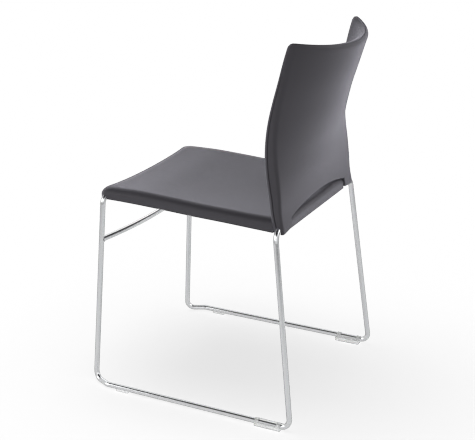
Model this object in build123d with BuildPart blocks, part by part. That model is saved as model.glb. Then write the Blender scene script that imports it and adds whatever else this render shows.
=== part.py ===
from build123d import *
import math
import os

# Conference chair: a chromed round-rod sled base with an upholstered seat and a wrap-round back.
# Millimetres, +Z up, the sitter faces -Y, +X is the sitter's left. The origin is on the floor,
# under the middle of the chair's box.

os.makedirs("parts", exist_ok=True)

# Rod frame. Places are those of the rods' centre lines; a corner is where two straight runs
# would meet if they weren't bent.
rod_d = 11
rod_r = rod_d / 2
glide_floor = 3.5
runner_z = glide_floor + rod_r
runner_half_track = 251
front_foot_half_track = 229.4
front_foot_y = -280.3
foot_turn_out = 45
rear_foot_y = 242.3
front_run_y = -252.4
front_run_z = 468.5
front_knee_half_width = 210.2
rear_run_y = 186.9
rear_run_z = 457.5
rear_knee_half_width = 220.5
foot_bend_r = 20
kink_bend_r = 24
front_knee_bend_r = 19
rear_knee_bend_r = 28

# Front stretcher, bowed rearwards between the front legs.
stretcher_z = 363.5
stretcher_bow = 19.4
cope_gap = 0.2

# Seat: overall form.
seat_half_width = 205
seat_nose = 7.5
seat_tail = 2.1
seat_thickness = 28
seat_rear_drop = 13
seat_dish = 11
seat_belly = 3.5
seat_shoulder = 20
seat_nose_roll = 17
seat_wall_share = 0.5
seat_nose_lift = 3
rod_cover_gap = 1.5

# Seat: layers, from the outside in.
cover_thickness = 1.6
soft_gap = 0.3
shell_side_gap = 0.9
panel_thickness = 2
panel_sink = 2.5
panel_sink_share = 0.3
seat_shell_thickness = 8
shell_end_gap = 0.5
notch_gap = 1
notch_length = 24
bay_gap = 1

# Back: overall form.
back_foot_z = 446.5
back_height = 413
back_half_width = 206
back_foot_lead = 12.4
back_lean = 27.2
back_wrap = 87
back_thickness = 33
back_crown = 7
back_top_dip = 17.7
back_top_z = 857.5
back_bulge_share = 0.4
back_seam_in = 10

# Back: the arch in the lower edge, which leaves an ear on each side.
arch_half_width = 157
arch_foot_z = 471.5
arch_crown_z = 491.5
arch_corner_r = 5
arch_gap = 1
ear_rise = 5.5

# Back: layers.
back_pad_thickness = 2
back_shell_thickness = 7.5
back_shell_margin = 8
saddle_gap = 1

# Steel uprights that join the back's shell to the rear run.
upright_x = 181
upright_width = 20
upright_thickness = 4
upright_top_z = 538
upright_gap = 0.6
upright_screw_inset = 12
upright_screw_pitch = 34

# Steel tabs that join the seat's shell to the front and rear runs.
tab_x = 110
tab_width = 40
tab_length = 42
tab_thickness = 3
tab_screw_pitch = 22
tab_screw_inset = 14

# Screws and threaded inserts.
screw_d = 6
screw_head_d = 11
screw_head_height = 3.4
screw_head_gap = 0.7
screw_tip = 1
hole_gap = 0.3
insert_d = 9
insert_inset = 0.6

# Clear glides on the runners. The front ones are slim soles under the rod. The rear ones have a
# flange towards the chair's middle and a tab over the rod at each end.
glide_gap = 0.2
glide_wall = 1.2
front_glide_y = -193
front_glide_length = 30
front_glide_width = 9
front_glide_height = 4.6
rear_glide_y = 188
rear_glide_length = 62
rear_glide_height = 10
flange_width = 16
flange_edge_height = 8
tab_over_length = 9

overrun = 5


# The frame. Each side is one bent rod from the middle of the front run to the middle of the
# rear run, and the two sides are butt-welded there.
def side_corners(side):
    """The corners of one side rod's route: side is 1 for the sitter's left, -1 for the right."""
    corners = [
        (0, front_run_y, front_run_z),
        (front_knee_half_width, front_run_y, front_run_z),
        (front_foot_half_track, front_foot_y, runner_z),
        (runner_half_track, front_foot_y + foot_turn_out, runner_z),
        (runner_half_track, rear_foot_y, runner_z),
        (rear_knee_half_width, rear_run_y, rear_run_z),
        (0, rear_run_y, rear_run_z),
    ]
    return [(side * x, y, z) for x, y, z in corners]


bend_radii = [front_knee_bend_r, foot_bend_r, kink_bend_r, foot_bend_r, rear_knee_bend_r]

with BuildPart() as frame_rod_left:
    with BuildLine():
        FilletPolyline(side_corners(1), radius=bend_radii)
    with BuildSketch(Plane(origin=side_corners(1)[0], z_dir=(1, 0, 0))):
        Circle(rod_r)
    sweep()
frame_rod_left.part.label = "frame_rod_left"

with BuildPart() as frame_rod_right:
    with BuildLine():
        FilletPolyline(side_corners(-1), radius=bend_radii)
    with BuildSketch(Plane(origin=side_corners(-1)[0], z_dir=(-1, 0, 0))):
        Circle(rod_r)
    sweep()
frame_rod_right.part.label = "frame_rod_right"

# The stretcher is the same rod, coped to the legs and welded.
leg_share = (front_run_z - stretcher_z) / (front_run_z - runner_z)
stretcher_x = front_knee_half_width + leg_share * (front_foot_half_track - front_knee_half_width)
stretcher_y = front_run_y + leg_share * (front_foot_y - front_run_y)


def cope_bar(side):
    """The straight stretch of one front leg, as a bar that is grown by the cope's gap."""
    knee, foot = [Vector(corner) for corner in side_corners(side)[1:3]]
    with BuildPart() as bar:
        with BuildSketch(Plane(origin=foot, z_dir=knee - foot)):
            Circle(rod_r + cope_gap)
        extrude(amount=(knee - foot).length)
    return bar.part


with BuildPart() as front_stretcher:
    with BuildLine() as stretcher_line:
        ThreePointArc(
            (-stretcher_x, stretcher_y, stretcher_z),
            (0, stretcher_y + stretcher_bow, stretcher_z),
            (stretcher_x, stretcher_y, stretcher_z),
        )
    with BuildSketch(Plane(origin=stretcher_line.line @ 0, z_dir=stretcher_line.line % 0)):
        Circle(rod_r)
    sweep()
    add(cope_bar(1), mode=Mode.SUBTRACT)
    add(cope_bar(-1), mode=Mode.SUBTRACT)
front_stretcher.part.label = "front_stretcher"


# The seat. Its slices stand across it, from the nose to the tail.
seat_front_y = front_run_y - rod_r - seat_nose
seat_rear_y = rear_run_y + rod_r + seat_tail
seat_rim_z = front_run_z - rod_r - rod_cover_gap

# Shares of the seat's length, rear drop, thickness, dish and nose roll at each slice.
seat_row_shares = [
    (0.000, 0.00, 0.94, 0.77, 0.85),
    (0.004, 0.00, 0.94, 0.77, 0.58),
    (0.012, 0.00, 0.93, 0.77, 0.31),
    (0.026, 0.00, 0.92, 0.77, 0.08),
    (0.041, 0.00, 0.92, 0.77, 0.00),
    (0.075, 0.00, 0.91, 0.79, 0.00),
    (0.220, 0.02, 0.94, 0.87, 0.00),
    (0.370, 0.15, 0.90, 1.00, 0.00),
    (0.530, 0.40, 0.88, 0.95, 0.00),
    (0.700, 0.57, 0.87, 0.83, 0.00),
    (0.840, 0.77, 0.90, 0.60, 0.00),
    (1.000, 1.00, 1.00, 0.20, 0.00),
]
seat_nose_slices = 4


def seat_slice(row, inset, floor, nose_lift):
    """One slice of the seat drawn in by inset, with its underside floor above the rim, and
    nose_lift more at the tip of the nose."""
    length_share, drop_share, thick_share, dish_share, roll_share = row
    roll = seat_nose_roll * roll_share
    y = seat_front_y + inset + (seat_rear_y - seat_front_y - 2 * inset) * length_share
    half = seat_half_width - inset - roll
    rim_z = seat_rim_z - seat_rear_drop * drop_share
    crease_z = rim_z + seat_thickness * thick_share - inset - roll
    low_z = rim_z + floor + nose_lift * roll_share
    wall_z = rim_z + (crease_z - rim_z) * seat_wall_share
    flank = half - seat_shoulder
    bend = math.sqrt(0.5)
    with BuildSketch(Plane.XZ.offset(-y)) as slice_sketch:
        with BuildLine():
            ThreePointArc((-half, low_z), (0, low_z - seat_belly), (half, low_z))
            Line((half, low_z), (half, wall_z))
            ThreePointArc(
                (half, wall_z),
                (flank + seat_shoulder * bend, wall_z + (crease_z - wall_z) * bend),
                (flank, crease_z),
            )
            ThreePointArc(
                (flank, crease_z), (0, crease_z - seat_dish * dish_share), (-flank, crease_z)
            )
            ThreePointArc(
                (-flank, crease_z),
                (-flank - seat_shoulder * bend, wall_z + (crease_z - wall_z) * bend),
                (-half, wall_z),
            )
            Line((-half, wall_z), (-half, low_z))
        make_face()
    return slice_sketch.sketch


def seat_form(inset, floor, nose_lift=0):
    """The seat's form drawn in by inset: a rounded nose, and a body of flowing slices."""
    slices = [seat_slice(row, inset, floor, nose_lift) for row in seat_row_shares]
    with BuildPart() as form:
        loft(slices[: seat_nose_slices + 1], ruled=True)
        loft(slices[seat_nose_slices:])
    return form.part


def rim_z_at(y):
    """Height of the seat's lower rim at y."""
    share = (y - seat_front_y) / (seat_rear_y - seat_front_y)
    for near, far in zip(seat_row_shares, seat_row_shares[1:]):
        if share <= far[0]:
            part_share = (share - near[0]) / (far[0] - near[0])
            return seat_rim_z - seat_rear_drop * (near[1] + (far[1] - near[1]) * part_share)
    return seat_rim_z - seat_rear_drop


def sink_at(y):
    """How far the underseat panel hangs below the seat's rim at y: more and more from the nose."""
    share = (y - seat_front_y) / (seat_rear_y - seat_front_y)
    return panel_sink * min(1, max(0, share) / panel_sink_share)


def layer_slice(y, half, floor, thickness, sink=0):
    """One slice of a layer that follows the seat's underside, floor above the rim. Its lower face
    is lowered by sink."""
    low_z = rim_z_at(y) + floor
    with BuildSketch(Plane.XZ.offset(-y)) as slice_sketch:
        with BuildLine():
            ThreePointArc(
                (-half, low_z - sink), (0, low_z - sink - seat_belly), (half, low_z - sink)
            )
            Line((half, low_z - sink), (half, low_z + thickness))
            ThreePointArc(
                (half, low_z + thickness),
                (0, low_z + thickness - seat_belly),
                (-half, low_z + thickness),
            )
            Line((-half, low_z + thickness), (-half, low_z - sink))
        make_face()
    return slice_sketch.sketch


# The back. Its slices lie flat, from the ears up.
back_foot_y = rear_run_y - back_foot_lead

# Shares of the back's height, lean, thickness, wrap, half width and crown at each slice.
back_row_shares = [
    (0.000, 0.00, 0.79, 0.016, 1.000, 0.3),
    (0.090, -0.35, 0.85, 0.057, 0.995, 0.5),
    (0.186, -0.57, 0.92, 0.110, 0.990, 0.7),
    (0.283, -0.83, 0.98, 0.230, 0.985, 0.9),
    (0.380, -0.99, 0.92, 0.380, 0.980, 1.0),
    (0.477, -1.00, 0.82, 0.550, 0.975, 1.0),
    (0.574, -0.87, 0.73, 0.680, 0.964, 1.0),
    (0.671, -0.60, 0.63, 0.770, 0.948, 1.0),
    (0.792, -0.17, 0.55, 0.865, 0.929, 1.0),
    (0.913, 0.26, 0.49, 0.945, 0.913, 1.0),
    (1.000, 0.64, 0.44, 1.000, 0.899, 1.0),
]


def arc_rise(x, half, sagitta):
    """Height over its chord, at x, of an arc with the given half chord and sagitta."""
    span = half**2 + sagitta**2
    return sagitta - 2 * sagitta * x**2 / (span + math.sqrt(span**2 - 4 * (sagitta * x) ** 2))


def back_face_y(row, x, rear_in):
    """Depth, at x, of the surface that lies rear_in inside the back's rear face."""
    edge_y = back_foot_y + back_lean * row[1] + back_thickness * row[2] - rear_in
    return edge_y + arc_rise(x, back_half_width * row[4], back_wrap * row[3])


def back_slice(row, side_in, rear_in, front_in=0, depth=0):
    """One slice of the back, drawn in at the sides and rear, and at the front by front_in, or
    depth deep where a depth is given."""
    half = back_half_width * row[4]
    edge_x = half - side_in
    rear_mid_y = back_face_y(row, 0, rear_in)
    if depth:
        front_sagitta = back_wrap * row[3]
        front_chord_y = back_face_y(row, half, rear_in) - depth
    else:
        front_sagitta = back_wrap * row[3] - back_crown * row[5]
        front_chord_y = back_foot_y + back_lean * row[1] + front_in
    bulge = back_bulge_share * (back_face_y(row, half, rear_in) - front_chord_y)
    flank = edge_x - bulge
    rear_y = back_face_y(row, flank, rear_in)
    front_y = front_chord_y + arc_rise(flank, half, front_sagitta)
    middle_y = (front_y + rear_y) / 2
    with BuildSketch(Plane.XY.offset(back_foot_z + back_height * row[0])) as slice_sketch:
        with BuildLine():
            ThreePointArc(
                (-flank, front_y), (0, front_chord_y + front_sagitta), (flank, front_y)
            )
            ThreePointArc((flank, front_y), (edge_x, middle_y), (flank, rear_y))
            ThreePointArc((flank, rear_y), (0, rear_mid_y), (-flank, rear_y))
            ThreePointArc((-flank, rear_y), (-edge_x, middle_y), (-flank, front_y))
        make_face()
    return slice_sketch.sketch


def arch_points(inset):
    """The arch's springing and crown, moved into the back by inset."""
    spring = arch_half_width + inset
    return (-spring, arch_foot_z + inset), (0, arch_crown_z + inset), (spring, arch_foot_z + inset)


def back_outline(rim_in):
    """The back's front view, with its arch and dipped top, drawn in by rim_in."""
    reach = back_half_width + overrun
    low_z = back_foot_z + rim_in
    ear_z = low_z + ear_rise
    tip_half_width = back_half_width * back_row_shares[-1][4]
    middle_top_z = back_top_z - back_top_dip - rim_in
    reach_top_z = middle_top_z + back_top_dip * (reach / tip_half_width) ** 2
    left_spring, crown, right_spring = arch_points(rim_in)
    with BuildSketch(Plane.XZ) as outline:
        with BuildLine():
            Polyline((-reach, low_z), (left_spring[0], ear_z), left_spring)
            ThreePointArc(left_spring, crown, right_spring)
            Polyline(right_spring, (right_spring[0], ear_z), (reach, low_z))
            Line((reach, low_z), (reach, reach_top_z))
            ThreePointArc((reach, reach_top_z), (0, middle_top_z), (-reach, reach_top_z))
            Line((-reach, reach_top_z), (-reach, low_z))
        make_face()
        springs = outline.vertices().filter_by_position(
            Axis.Z, left_spring[1] - arch_corner_r, left_spring[1] + arch_corner_r
        )
        fillet(springs, arch_corner_r)
    return outline.sketch


def back_form(rim_in, side_in, rear_in, front_in=0, depth=0):
    """A layer of the back, between two of its inner surfaces, inside its outline."""
    with BuildPart() as form:
        loft([back_slice(row, side_in, rear_in, front_in, depth) for row in back_row_shares])
        extrude(back_outline(rim_in), amount=back_reach, both=True, mode=Mode.INTERSECT)
    return form.part


back_reach = back_foot_y + back_thickness + back_wrap + back_lean + overrun


def back_row_at(z):
    """The shares of the back's form at height z."""
    share = (z - back_foot_z) / back_height
    for low, high in zip(back_row_shares, back_row_shares[1:]):
        if share <= high[0]:
            part_share = (share - low[0]) / (high[0] - low[0])
            return [a + (b - a) * part_share for a, b in zip(low, high)]
    return back_row_shares[-1]


# Where the back's layers lie, measured in from its rear face.
cover_stack = cover_thickness + soft_gap
back_shell_in = cover_stack + back_pad_thickness + shell_side_gap
back_foam_in = back_shell_in + back_shell_thickness + soft_gap


def rod_saddle(y, z, gap, near_x, far_x):
    """A slot that lets a cross run in from below, between two distances from the middle."""
    slot_r = rod_r + gap
    slot_depth = seat_thickness + overrun
    with BuildPart() as saddle:
        for start_x in (near_x, -far_x):
            with BuildSketch(Plane.YZ.offset(start_x)):
                with Locations((y, z)):
                    Circle(slot_r)
                with Locations((y, z - slot_depth / 2)):
                    Rectangle(2 * slot_r, slot_depth)
            extrude(amount=far_x - near_x)
    return saddle.part


def run_slot(y, z):
    """The room that a cross run takes in the seat's foam, open below."""
    slot_r = rod_r + hole_gap
    with BuildPart() as slot:
        with BuildSketch(Plane.YZ):
            with Locations((y, z)):
                Circle(slot_r)
            with Locations((y, z - seat_thickness / 2)):
                Rectangle(2 * slot_r, seat_thickness)
        extrude(amount=seat_half_width + overrun, both=True)
    return slot.part


ear_saddle = rod_saddle(
    rear_run_y, rear_run_z, saddle_gap, arch_half_width - overrun, back_half_width + overrun
)
nose_notch = rod_saddle(
    front_run_y,
    front_run_z,
    notch_gap,
    seat_half_width - notch_length,
    seat_half_width + overrun,
)
front_slot = run_slot(front_run_y, front_run_z)
rear_slot = run_slot(rear_run_y, rear_run_z)


def rear_space_slice(row, rear_in):
    """One slice of all that lies behind the surface rear_in inside the back's rear face."""
    reach = back_half_width * row[4] + overrun
    side_y = back_face_y(row, reach, rear_in)
    middle_y = back_face_y(row, 0, rear_in)
    rear_y = middle_y + back_thickness
    with BuildSketch(Plane.XY.offset(back_foot_z + back_height * row[0])) as slice_sketch:
        with BuildLine():
            ThreePointArc((-reach, side_y), (0, middle_y), (reach, side_y))
            Polyline((reach, side_y), (reach, rear_y), (-reach, rear_y), (-reach, side_y))
        make_face()
    return slice_sketch.sketch


def rear_space(rear_in):
    """All that lies behind the surface rear_in inside the back's rear face."""
    with BuildPart() as space:
        loft([rear_space_slice(row, rear_in) for row in back_row_shares])
    return space.part


# The uprights: flat bars that stand on the rear run inside the ears, in front of the shell.
upright_outer_x = upright_x + upright_width / 2


def upright_rear_y(z):
    """Depth at z of a line just in front of the back's shell, at the uprights' outer edges."""
    shell_y = back_face_y(back_row_at(z), upright_outer_x, back_shell_in + back_shell_thickness)
    return shell_y - upright_gap


upright_rise = upright_top_z - rear_run_z
upright_slope = (upright_rear_y(upright_top_z) - upright_rear_y(rear_run_z)) / upright_rise
row_heights = [back_foot_z + back_height * row[0] for row in back_row_shares]
upright_lead = max(
    upright_rear_y(rear_run_z) + upright_slope * (z - rear_run_z) - upright_rear_y(z)
    for z in row_heights
    if rear_run_z < z < upright_top_z
)


def upright_front_y(z):
    """Depth of the upright's straight front side at z, ahead of the shell's bulge."""
    foot_y = upright_rear_y(rear_run_z) - upright_lead - upright_thickness
    return foot_y + upright_slope * (z - rear_run_z)


def upright_bar(middle_x, grow):
    """One straight upright, grown by grow all round."""
    low_z = rear_run_z - grow
    high_z = upright_top_z + grow
    depth = upright_thickness + 2 * grow
    low_y = upright_front_y(low_z) - grow
    high_y = upright_front_y(high_z) - grow
    with BuildPart() as bar:
        with BuildSketch(Plane.YZ.offset(middle_x - upright_width / 2 - grow)):
            with BuildLine():
                Polyline(
                    (low_y, low_z),
                    (low_y + depth, low_z),
                    (high_y + depth, high_z),
                    (high_y, high_z),
                    close=True,
                )
            make_face()
        extrude(amount=upright_width + 2 * grow)
    return bar.part


def back_screw_planes():
    """Planes on the uprights' front sides, with their normals along the screws."""
    top_z = upright_top_z - upright_screw_inset
    return [
        Plane(
            origin=(side * upright_x, upright_front_y(z), z),
            x_dir=(1, 0, 0),
            z_dir=(0, 1, -upright_slope),
        )
        for side in (1, -1)
        for z in (top_z - upright_screw_pitch, top_z)
    ]


def back_rods(radius, start, end):
    """Round bars on the back's screw axes, from start to end behind the uprights' front sides."""
    with BuildPart() as rods:
        for plane in back_screw_planes():
            with BuildSketch(plane.offset(start)):
                Circle(radius)
            extrude(amount=end - start)
    return rods.part


screw_r = screw_d / 2
screw_head_r = screw_head_d / 2
insert_reach = upright_thickness + upright_lead + 2 * back_shell_thickness

with BuildPart() as back_upright_left:
    add(upright_bar(upright_x, 0))
    add(frame_rod_left.part, mode=Mode.SUBTRACT)
    add(back_rods(screw_r + hole_gap, -overrun, upright_thickness + overrun), mode=Mode.SUBTRACT)
back_upright_left.part.label = "back_upright_left"

with BuildPart() as back_upright_right:
    add(upright_bar(-upright_x, 0))
    add(frame_rod_right.part, mode=Mode.SUBTRACT)
    add(back_rods(screw_r + hole_gap, -overrun, upright_thickness + overrun), mode=Mode.SUBTRACT)
back_upright_right.part.label = "back_upright_right"

with BuildPart() as back_shell:
    add(
        back_form(
            back_shell_margin, back_shell_margin, back_shell_in, depth=back_shell_thickness
        )
    )
    add(ear_saddle, mode=Mode.SUBTRACT)
    add(back_rods(insert_d / 2, 0, insert_reach), mode=Mode.SUBTRACT)
back_shell.part.label = "back_shell"

# Threaded inserts, pressed into the shell and just short of its two faces.
with BuildPart() as back_inserts:
    add(back_rods(insert_d / 2, 0, insert_reach))
    add(
        back_form(
            back_shell_margin,
            back_shell_margin,
            back_shell_in + insert_inset,
            depth=back_shell_thickness - 2 * insert_inset,
        ),
        mode=Mode.INTERSECT,
    )
    add(back_rods(screw_r, -overrun, insert_reach), mode=Mode.SUBTRACT)
back_inserts.part.label = "back_inserts"

back_screw_reach = upright_thickness + back_shell_thickness
with BuildPart() as back_screws:
    add(back_rods(screw_head_r, -screw_head_height, 0))
    add(back_rods(screw_r, 0, back_screw_reach))
back_screws.part.label = "back_screws"

with BuildPart() as back_foam:
    add(back_form(cover_stack, cover_stack, cover_stack, front_in=cover_stack))
    add(rear_space(back_foam_in), mode=Mode.SUBTRACT)
    add(ear_saddle, mode=Mode.SUBTRACT)
    add(upright_bar(upright_x, soft_gap), mode=Mode.SUBTRACT)
    add(upright_bar(-upright_x, soft_gap), mode=Mode.SUBTRACT)
    add(
        back_rods(screw_head_r + soft_gap, -screw_head_height - soft_gap, back_foam_in),
        mode=Mode.SUBTRACT,
    )
back_foam.part.label = "back_foam"

with BuildPart() as back_rear_padding:
    add(back_form(cover_stack, cover_stack, cover_stack, front_in=cover_stack))
    add(rear_space(cover_stack + back_pad_thickness), mode=Mode.INTERSECT)
    add(ear_saddle, mode=Mode.SUBTRACT)
back_rear_padding.part.label = "back_rear_padding"


def front_space_slice(row, near_in, far_in):
    """One slice of the space between two distances inside the back's front face, past its sides."""
    half = back_half_width * row[4]
    reach = half + overrun
    sagitta = back_wrap * row[3] - back_crown * row[5]
    near_y = back_foot_y + back_lean * row[1] + near_in
    far_y = near_y - near_in + far_in
    side_rise = arc_rise(reach, half, sagitta)
    with BuildSketch(Plane.XY.offset(back_foot_z + back_height * row[0])) as slice_sketch:
        with BuildLine():
            ThreePointArc(
                (-reach, near_y + side_rise), (0, near_y + sagitta), (reach, near_y + side_rise)
            )
            Line((reach, near_y + side_rise), (reach, far_y + side_rise))
            ThreePointArc(
                (reach, far_y + side_rise), (0, far_y + sagitta), (-reach, far_y + side_rise)
            )
            Line((-reach, far_y + side_rise), (-reach, near_y + side_rise))
        make_face()
    return slice_sketch.sketch


with BuildPart() as back_front_space:
    loft([front_space_slice(row, -overrun, back_seam_in) for row in back_row_shares])

with BuildPart() as back_skin:
    add(back_form(0, 0, 0))
    add(
        back_form(cover_thickness, cover_thickness, cover_thickness, cover_thickness),
        mode=Mode.SUBTRACT,
    )
    add(ear_saddle, mode=Mode.SUBTRACT)

with BuildPart() as back_cover_front:
    add(back_skin.part)
    add(back_front_space.part, mode=Mode.INTERSECT)
back_cover_front.part.label = "back_cover_front"

with BuildPart() as back_cover_rear:
    add(back_skin.part)
    add(back_front_space.part, mode=Mode.SUBTRACT)
back_cover_rear.part.label = "back_cover_rear"

# The bay behind the seat's sides that holds the ears. The seat's tail goes on through the arch.
bay_low_z = back_foot_z - seat_thickness

with BuildPart() as ear_bay:
    loft([front_space_slice(row, -bay_gap, 2 * seat_thickness) for row in back_row_shares])
    left_spring, arch_crown, right_spring = arch_points(-arch_gap)
    with BuildSketch(Plane.XZ):
        with BuildLine():
            Polyline(right_spring, (right_spring[0], bay_low_z), (left_spring[0], bay_low_z))
            Line((left_spring[0], bay_low_z), left_spring)
            ThreePointArc(left_spring, arch_crown, right_spring)
        make_face()
    extrude(amount=back_reach, both=True, mode=Mode.SUBTRACT)

# Where the seat's layers lie, measured up from its rim.
seat_shell_floor = panel_thickness + soft_gap
seat_shell_top = seat_shell_floor + seat_shell_thickness
seat_foam_floor = seat_shell_top + soft_gap
seat_inner_half = seat_half_width - cover_thickness - shell_side_gap
layer_front_y = front_run_y + rod_r + shell_end_gap
layer_rear_y = rear_run_y - rod_r - shell_end_gap


def layer_form(half, floor, thickness, sinks=False):
    """A layer that follows the seat's underside, a little longer than the seat. Its lower face
    hangs like the underseat panel's where it sinks."""
    seat_length = seat_rear_y - seat_front_y
    middle_rows = seat_row_shares[seat_nose_slices + 1 : -1]
    ys = [seat_front_y - overrun]
    ys += [seat_front_y + seat_length * row[0] for row in middle_rows]
    ys += [seat_rear_y + overrun]
    with BuildPart() as form:
        loft(
            [layer_slice(y, half, floor, thickness, sink_at(y) if sinks else 0) for y in ys],
            ruled=True,
        )
    return form.part


def run_space():
    """The space between the front and rear runs, where the seat's layers lie."""
    length = layer_rear_y - layer_front_y
    with BuildPart() as space:
        with BuildSketch(Plane.XY.offset(rear_run_z - seat_thickness)):
            with Locations((0, layer_front_y + length / 2)):
                Rectangle(2 * seat_half_width + overrun, length)
        extrude(amount=front_run_z - rear_run_z + 2 * seat_thickness)
    return space.part


# Tabs on the runs, lying on the seat's shell. Each takes two screws from below.
tab_edge_x = tab_x + tab_width / 2


def tab_low_z(run_y, inner_y):
    """Height of a tab's underside, clear of the shell's highest point under it."""
    rim_z = max(rim_z_at(run_y), rim_z_at(inner_y))
    return rim_z + seat_shell_top - arc_rise(tab_edge_x, seat_inner_half, seat_belly) + soft_gap


tab_places = {
    "seat_tab_front_left": (tab_x, front_run_y, 1),
    "seat_tab_front_right": (-tab_x, front_run_y, 1),
    "seat_tab_rear_left": (tab_x, rear_run_y, -1),
    "seat_tab_rear_right": (-tab_x, rear_run_y, -1),
}


def tab_block(place, grow):
    """One tab from its run towards the seat's middle, grown by grow all round."""
    middle_x, run_y, inwards = place
    inner_y = run_y + inwards * tab_length
    low_z = tab_low_z(run_y, inner_y) - grow
    with BuildPart() as block:
        with BuildSketch(Plane.XY.offset(low_z)):
            with Locations((middle_x, run_y + inwards * (tab_length + grow) / 2)):
                Rectangle(tab_width + 2 * grow, tab_length + grow)
        extrude(amount=tab_thickness + 2 * grow)
    return block.part


def tab_screw_points(place):
    """Middle of each of a tab's two screws, and the height of the tab's top there."""
    middle_x, run_y, inwards = place
    inner_y = run_y + inwards * tab_length
    top_z = tab_low_z(run_y, inner_y) + tab_thickness
    screw_y = inner_y - inwards * tab_screw_inset
    return [(middle_x + side * tab_screw_pitch / 2, screw_y, top_z) for side in (1, -1)]


screw_points = [point for place in tab_places.values() for point in tab_screw_points(place)]


def panel_z(x, y):
    """Height of the underseat panel's lower face."""
    return rim_z_at(y) - sink_at(y) - arc_rise(x, seat_inner_half, seat_belly)


def seat_rods(radius):
    """Upright round bars on the seat's screw axes, from under the panel to the tabs' tops."""
    with BuildPart() as rods:
        for x, y, top_z in screw_points:
            low_z = panel_z(x, y) - screw_head_gap
            with BuildSketch(Plane.XY.offset(low_z)):
                with Locations((x, y)):
                    Circle(radius)
            extrude(amount=top_z + screw_tip - low_z)
    return rods.part


frame_rods = {"left": frame_rod_left.part, "right": frame_rod_right.part}
tabs = []
for name, place in tab_places.items():
    with BuildPart() as tab:
        add(tab_block(place, 0))
        add(frame_rods[name.split("_")[-1]], mode=Mode.SUBTRACT)
        add(seat_rods(screw_r), mode=Mode.SUBTRACT)
    tab.part.label = name
    tabs.append(tab.part)

with BuildPart() as seat_screws:
    add(seat_rods(screw_r))
    for x, y, top_z in screw_points:
        with BuildSketch(Plane.XY.offset(panel_z(x, y) - screw_head_gap - screw_head_height)):
            with Locations((x, y)):
                Circle(screw_head_r)
        extrude(amount=screw_head_height)
seat_screws.part.label = "seat_screws"

with BuildPart() as seat_shell:
    add(layer_form(seat_inner_half, seat_shell_floor, seat_shell_thickness))
    add(run_space(), mode=Mode.INTERSECT)
    add(ear_bay.part, mode=Mode.SUBTRACT)
    add(nose_notch, mode=Mode.SUBTRACT)
    add(seat_rods(screw_r + hole_gap), mode=Mode.SUBTRACT)
seat_shell.part.label = "seat_shell"

with BuildPart() as underseat_panel:
    add(layer_form(seat_inner_half, 0, panel_thickness, sinks=True))
    add(run_space(), mode=Mode.INTERSECT)
    add(ear_bay.part, mode=Mode.SUBTRACT)
    add(nose_notch, mode=Mode.SUBTRACT)
    add(seat_rods(screw_r + hole_gap), mode=Mode.SUBTRACT)
underseat_panel.part.label = "underseat_panel"

with BuildPart() as seat_foam:
    add(seat_form(cover_stack, 0))
    add(
        layer_form(seat_half_width + overrun, -2 * overrun, seat_foam_floor + 2 * overrun),
        mode=Mode.SUBTRACT,
    )
    add(ear_bay.part, mode=Mode.SUBTRACT)
    add(nose_notch, mode=Mode.SUBTRACT)
    add(front_slot, mode=Mode.SUBTRACT)
    add(rear_slot, mode=Mode.SUBTRACT)
    for place in tab_places.values():
        add(tab_block(place, soft_gap), mode=Mode.SUBTRACT)
    add(seat_rods(screw_r + soft_gap), mode=Mode.SUBTRACT)
seat_foam.part.label = "seat_foam"

with BuildPart() as seat_cover:
    add(seat_form(0, 0, seat_nose_lift))
    add(seat_form(cover_thickness, -overrun), mode=Mode.SUBTRACT)
    add(ear_bay.part, mode=Mode.SUBTRACT)
    add(nose_notch, mode=Mode.SUBTRACT)
seat_cover.part.label = "seat_cover"

# The clear glides, held by the rod in their round seats.
glide_half = rod_r + glide_gap + glide_wall


def front_glide(side):
    """A slim sole under the front of one runner."""
    middle_x = side * runner_half_track
    with BuildPart() as glide:
        with BuildSketch(Plane.XZ.offset(-front_glide_y - front_glide_length / 2)):
            with Locations((middle_x, front_glide_height / 2)):
                Rectangle(front_glide_width, front_glide_height)
            with Locations((middle_x, runner_z)):
                Circle(rod_r + glide_gap, mode=Mode.SUBTRACT)
        extrude(amount=front_glide_length)
    return glide.part


def rear_glide(side):
    """A sole under the rear of one runner, with its flange and its two tabs over the rod."""
    middle_x = side * runner_half_track
    rear_end = Plane.XZ.offset(-rear_glide_y - rear_glide_length / 2)
    with BuildPart() as glide:
        with BuildSketch(rear_end):
            with BuildLine():
                Polyline(
                    (middle_x + side * glide_half, 0),
                    (middle_x + side * glide_half, runner_z),
                    (middle_x - side * rod_r, rear_glide_height),
                    (middle_x - side * flange_width, flange_edge_height),
                    (middle_x - side * flange_width, 0),
                    close=True,
                )
            make_face()
        extrude(amount=rear_glide_length)
        for start in (0, rear_glide_length - tab_over_length):
            with BuildSketch(rear_end.offset(start)):
                with Locations((middle_x, runner_z)):
                    Circle(glide_half)
            extrude(amount=tab_over_length)
        with BuildSketch(rear_end):
            with Locations((middle_x, runner_z)):
                Circle(rod_r + glide_gap)
        extrude(amount=rear_glide_length, mode=Mode.SUBTRACT)
    return glide.part


glides = []
for end, make_glide in (("front", front_glide), ("rear", rear_glide)):
    for side_name, side in (("left", 1), ("right", -1)):
        glide = make_glide(side)
        glide.label = f"glide_{end}_{side_name}"
        glides.append(glide)

pieces = [
    frame_rod_left.part,
    frame_rod_right.part,
    front_stretcher.part,
    back_upright_left.part,
    back_upright_right.part,
    back_shell.part,
    back_inserts.part,
    back_screws.part,
    back_foam.part,
    back_rear_padding.part,
    back_cover_front.part,
    back_cover_rear.part,
    *tabs,
    seat_screws.part,
    seat_shell.part,
    underseat_panel.part,
    seat_foam.part,
    seat_cover.part,
    *glides,
]
for piece in pieces:
    export_step(piece, f"parts/{piece.label}.step")
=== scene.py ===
import math

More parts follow.
